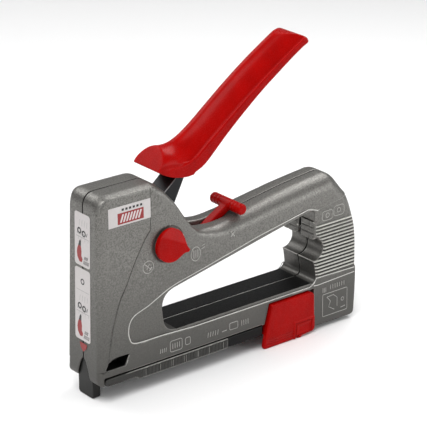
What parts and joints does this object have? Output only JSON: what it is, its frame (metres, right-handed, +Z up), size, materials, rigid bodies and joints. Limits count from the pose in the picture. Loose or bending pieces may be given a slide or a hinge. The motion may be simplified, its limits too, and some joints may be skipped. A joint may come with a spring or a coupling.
{
  "type": "hand tacker",
  "caption": "Lever-operated staple tacker with a two-shell cast body, D-shaped finger opening, squeeze handle, force selector and swing-down magazine.",
  "frame": {"origin": "middle of the bounding box on the surface that the tool stands on", "axes": "+X runs from the nose to the rear column, +Z up, the force selector is on the -Y side"},
  "size_m": [0.2015, 0.0388, 0.1957],
  "materials": {
    "cast_housing": "fine bead-blasted die casting, warm grey",
    "cast_rail": "fine bead-blasted die casting, darker grey with fine ticks",
    "red_plastic": "glossy bright red moulding",
    "black_steel": "satin black painted steel",
    "dark_steel": "blackened steel",
    "bright_steel": "ground steel",
    "spring_steel": "drawn spring wire",
    "bumper_rubber": "black rubber",
    "label_vinyl": "white printed vinyl"
  },
  "bodies": {
    "frame": {"left_housing": "cast_housing", "right_housing": "cast_housing", "housing_screw_1": "dark_steel", "housing_screw_2": "dark_steel", "housing_screw_3": "dark_steel", "housing_screw_4": "dark_steel", "housing_screw_5": "dark_steel", "housing_screw_6": "dark_steel", "nose_plate": "dark_steel", "nose_guide": "bright_steel", "spring_seat": "dark_steel", "bumper": "bumper_rubber", "lever_pivot_pin": "bright_steel", "latch_pin": "bright_steel", "magazine_pin_left": "bright_steel", "magazine_pin_right": "bright_steel", "detent_ball": "bright_steel", "detent_spring": "spring_steel", "main_spring": "spring_steel", "lever_return_spring": "spring_steel", "side_label": "label_vinyl", "front_label_upper": "label_vinyl", "front_label_lower": "label_vinyl"},
    "handle": {"lever_arm": "black_steel", "handle_grip": "red_plastic"},
    "hammer": {"hammer": "bright_steel", "driver_blade": "bright_steel"},
    "dial": {"selector_dial": "red_plastic", "dial_cam": "bright_steel"},
    "latch": {"handle_latch": "red_plastic"},
    "magazine": {"magazine_channel": "cast_rail", "magazine_head": "red_plastic", "staple_rail": "bright_steel", "pusher_rod": "bright_steel", "pusher_spring": "spring_steel", "button_spring_left": "spring_steel", "button_spring_right": "spring_steel"},
    "pusher": {"pusher": "dark_steel"},
    "button_left": {"release_button_left": "red_plastic"},
    "button_right": {"release_button_right": "red_plastic"}
  },
  "joints": [
    {"name": "handle_squeeze", "type": "hinge", "parent": "frame", "child": "handle", "pos_m": [-0.06075, 0, 0.1087], "axis": [0, 1, 0], "range_deg": [0, 34], "stiffness_Nm_per_rad": 1.2, "springref_deg": -14.32, "deforming": ["lever_return_spring"]},
    {"name": "hammer_lift", "type": "slide", "parent": "frame", "child": "hammer", "axis": [0, 0, 1], "range_m": [0, 0.016], "deforming": ["main_spring"]},
    {"name": "dial_turn", "type": "hinge", "parent": "frame", "child": "dial", "pos_m": [-0.04875, 0, 0.0887], "axis": [0, 1, 0], "range_deg": [0, 115]},
    {"name": "latch_swing", "type": "hinge", "parent": "frame", "child": "latch", "pos_m": [-0.01675, 0, 0.0802], "axis": [0, 1, 0], "range_deg": [-35, 0]},
    {"name": "magazine_swing", "type": "hinge", "parent": "frame", "child": "magazine", "pos_m": [-0.09475, 0, 0.0132], "axis": [0, 1, 0], "range_deg": [0, 25]},
    {"name": "pusher_slide", "type": "slide", "parent": "magazine", "child": "pusher", "axis": [1, 0, 0], "range_m": [0, 0.07], "stiffness_N_per_m": 60, "springref_m": -0.01, "deforming": ["pusher_spring"]},
    {"name": "button_left_press", "type": "slide", "parent": "magazine", "child": "button_left", "axis": [0, 1, 0], "range_m": [0, 0.0018], "stiffness_N_per_m": 800, "springref_m": -0.001, "deforming": ["button_spring_left"]},
    {"name": "button_right_press", "type": "slide", "parent": "magazine", "child": "button_right", "axis": [0, -1, 0], "range_m": [0, 0.0018], "stiffness_N_per_m": 800, "springref_m": -0.001, "deforming": ["button_spring_right"]}
  ],
  "couplings": [
    {"joint": "hammer_lift", "follows": "handle_squeeze", "m_per_rad": 0.0264}
  ]
}
